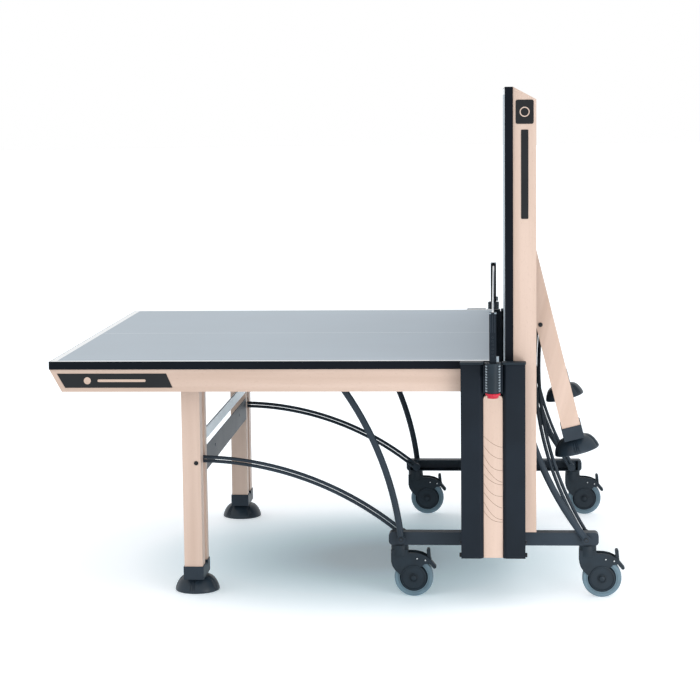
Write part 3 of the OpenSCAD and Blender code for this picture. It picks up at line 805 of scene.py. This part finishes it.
def clamp_ring(end):
    """Red clamp ring: a flange with grip lobes over a tapered nut."""
    node = "net_ring_" + end
    low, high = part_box(node)
    radius = (high.x - low.x) / 2
    height = high.z - low.z
    bore = 0.0086
    profile = [(bore, 0), (radius * 0.66, 0), (radius * 0.72, 0.0008),
               (radius * 0.80, height * 0.55), (radius * 0.97, height * 0.62),
               (radius, height * 0.68), (radius, height - 0.001), (radius - 0.001, height),
               (bore, height)]
    lobes = 12

    def grip(angle, step):
        return 1 - (0.022 * (1 - math.cos(lobes * angle)) if 3 < step < 8 else 0)

    bm = bmesh.new()
    spot = Vector((NET_X, PIVOT["net_ring_turn_" + end].y, low.z))
    ring_lathe(bm, profile, at(spot), 144, 0, grip)
    piece(node + "_finish", bm, [RED], BODY[node], [node], sharp=50)


# ---- Stage: floor, lights and camera -----------------------------------------------------------
def floor():
    """A pale studio floor that glows a little, so that it fades into the white background; near the table its glow
    is weaker and bluish, which paints a bluish shadow there.
    """
    # weak glow inside the painted shadow under the table, strong glow on the open floor
    glow_in_painted_shadow, glow_open = 0.055, 0.40
    shadow_in, shadow_out = 0.15, 0.85
    shadow_left, shadow_front = 0.4, 0.1
    finish = Finish("studio_floor", (0.80, 0.84, 0.88), 0.60, shine=0.2)
    tone = finish.noise((0.8, 0.8, 0.8), 2.0)
    finish.set_color(finish.blend_color(tone, (0.76, 0.82, 0.865), (0.78, 0.84, 0.885)))
    middle = finish.add("ShaderNodeVectorMath")
    middle.operation = "SUBTRACT"
    middle.inputs[1].default_value = (NET_X - shadow_left, -shadow_front, 0)
    finish.link(finish.place, middle.inputs[0])
    distance = finish.add("ShaderNodeVectorMath")
    distance.operation = "LENGTH"
    finish.link(middle.outputs[0], distance.inputs[0])
    # painted shadow: around a point beside the net the floor glows much less, so it stays darker there
    spread = finish.ramp(distance.outputs["Value"], shadow_in, shadow_out)
    glow = finish.math("MULTIPLY_ADD", spread, glow_open, glow_in_painted_shadow)
    finish.link(glow, finish.shader.inputs["Emission Strength"])
    # painted shadow colour: the glow is bluish inside the painted shadow and near white on the open floor
    finish.link(finish.blend_color(spread, (0.35, 0.85, 1.0), (0.96, 0.98, 1.0)),
                finish.shader.inputs["Emission Color"])
    bm = bmesh.new()
    bmesh.ops.create_circle(bm, cap_ends=True, radius=60, segments=64)
    mesh = bpy.data.meshes.new("studio_floor")
    bm.to_mesh(mesh)
    bm.free()
    mesh.materials.append(finish.material)
    obj = bpy.data.objects.new("studio_floor", mesh)
    bpy.context.scene.collection.objects.link(obj)


def area_light(name, place, target, size, power, color):
    light = bpy.data.lights.new(name, "AREA")
    light.shape = "RECTANGLE"
    light.size, light.size_y = size
    light.energy = power
    light.color = color
    obj = bpy.data.objects.new(name, light)
    obj.location = place
    direction = Vector(target) - Vector(place)
    obj.rotation_mode = "QUATERNION"
    obj.rotation_quaternion = direction.to_track_quat("-Z", "Y")
    obj.visible_camera = False
    bpy.context.scene.collection.objects.link(obj)


def studio():
    scene = bpy.context.scene
    scene.view_settings.view_transform = "Standard"
    world = bpy.data.worlds.new("studio")
    world.use_nodes = True
    world.node_tree.nodes["Background"].inputs["Color"].default_value = (1, 1, 1, 1)
    world.node_tree.nodes["Background"].inputs["Strength"].default_value = 1.0
    scene.world = world
    middle = (0, 0, 0.7)
    area_light("overhead", (0.2, 0.3, 4.2), middle, (5, 4), 10, (1, 1, 1))
    area_light("key_front", (-2.6, -5.0, 3.0), middle, (2.6, 2.6), 8, (1, 0.985, 0.96))
    area_light("fill_right", (3.4, -4.8, 0.9), (0.6, 0, 0.3), (1.6, 1.2), 12, (1, 0.99, 0.97))
    area_light("fill_low", (1.45, -1.8, 0.22), (0.6, -0.7, 0.35), (0.7, 0.4), 8, (1, 0.99, 0.98))


def camera():
    """Camera at the viewing place of the reference: in front, a little above the table."""
    data = bpy.data.cameras.new("view")
    data.sensor_width = 36
    data.lens = 104.7
    data.clip_end = 200
    obj = bpy.data.objects.new("view", data)
    place = Vector((NET_X + 0.0112, -6.9197, 1.5556))
    yaw, pitch, roll = -0.0724, 0.1227, -0.0114
    ahead = Vector((math.sin(yaw) * math.cos(pitch), math.cos(yaw) * math.cos(pitch),
                    -math.sin(pitch)))
    flat = Vector((math.cos(yaw), -math.sin(yaw), 0))
    raised = flat.cross(ahead)
    right = math.cos(roll) * flat + math.sin(roll) * raised
    up = math.cos(roll) * raised - math.sin(roll) * flat
    turn = Matrix((right, up, -ahead)).transposed().to_4x4()
    obj.matrix_world = Matrix.Translation(place) @ turn
    bpy.context.scene.collection.objects.link(obj)
    bpy.context.scene.camera = obj


camera()
studio()
floor()
base_frame()
infill_lines()
for side in SIDES:
    top_half(side)
    legs(side)
    arms(side)
for corner, spin in zip(CORNERS, (-97, -59, -92, -40)):
    fluted_foot(corner, spin)
    caster(corner)
    wheel(corner)
    pedal(corner)
for end in ENDS:
    net_post(end)
    clamp_ring(end)
clamp_barrels()
net_cloth()
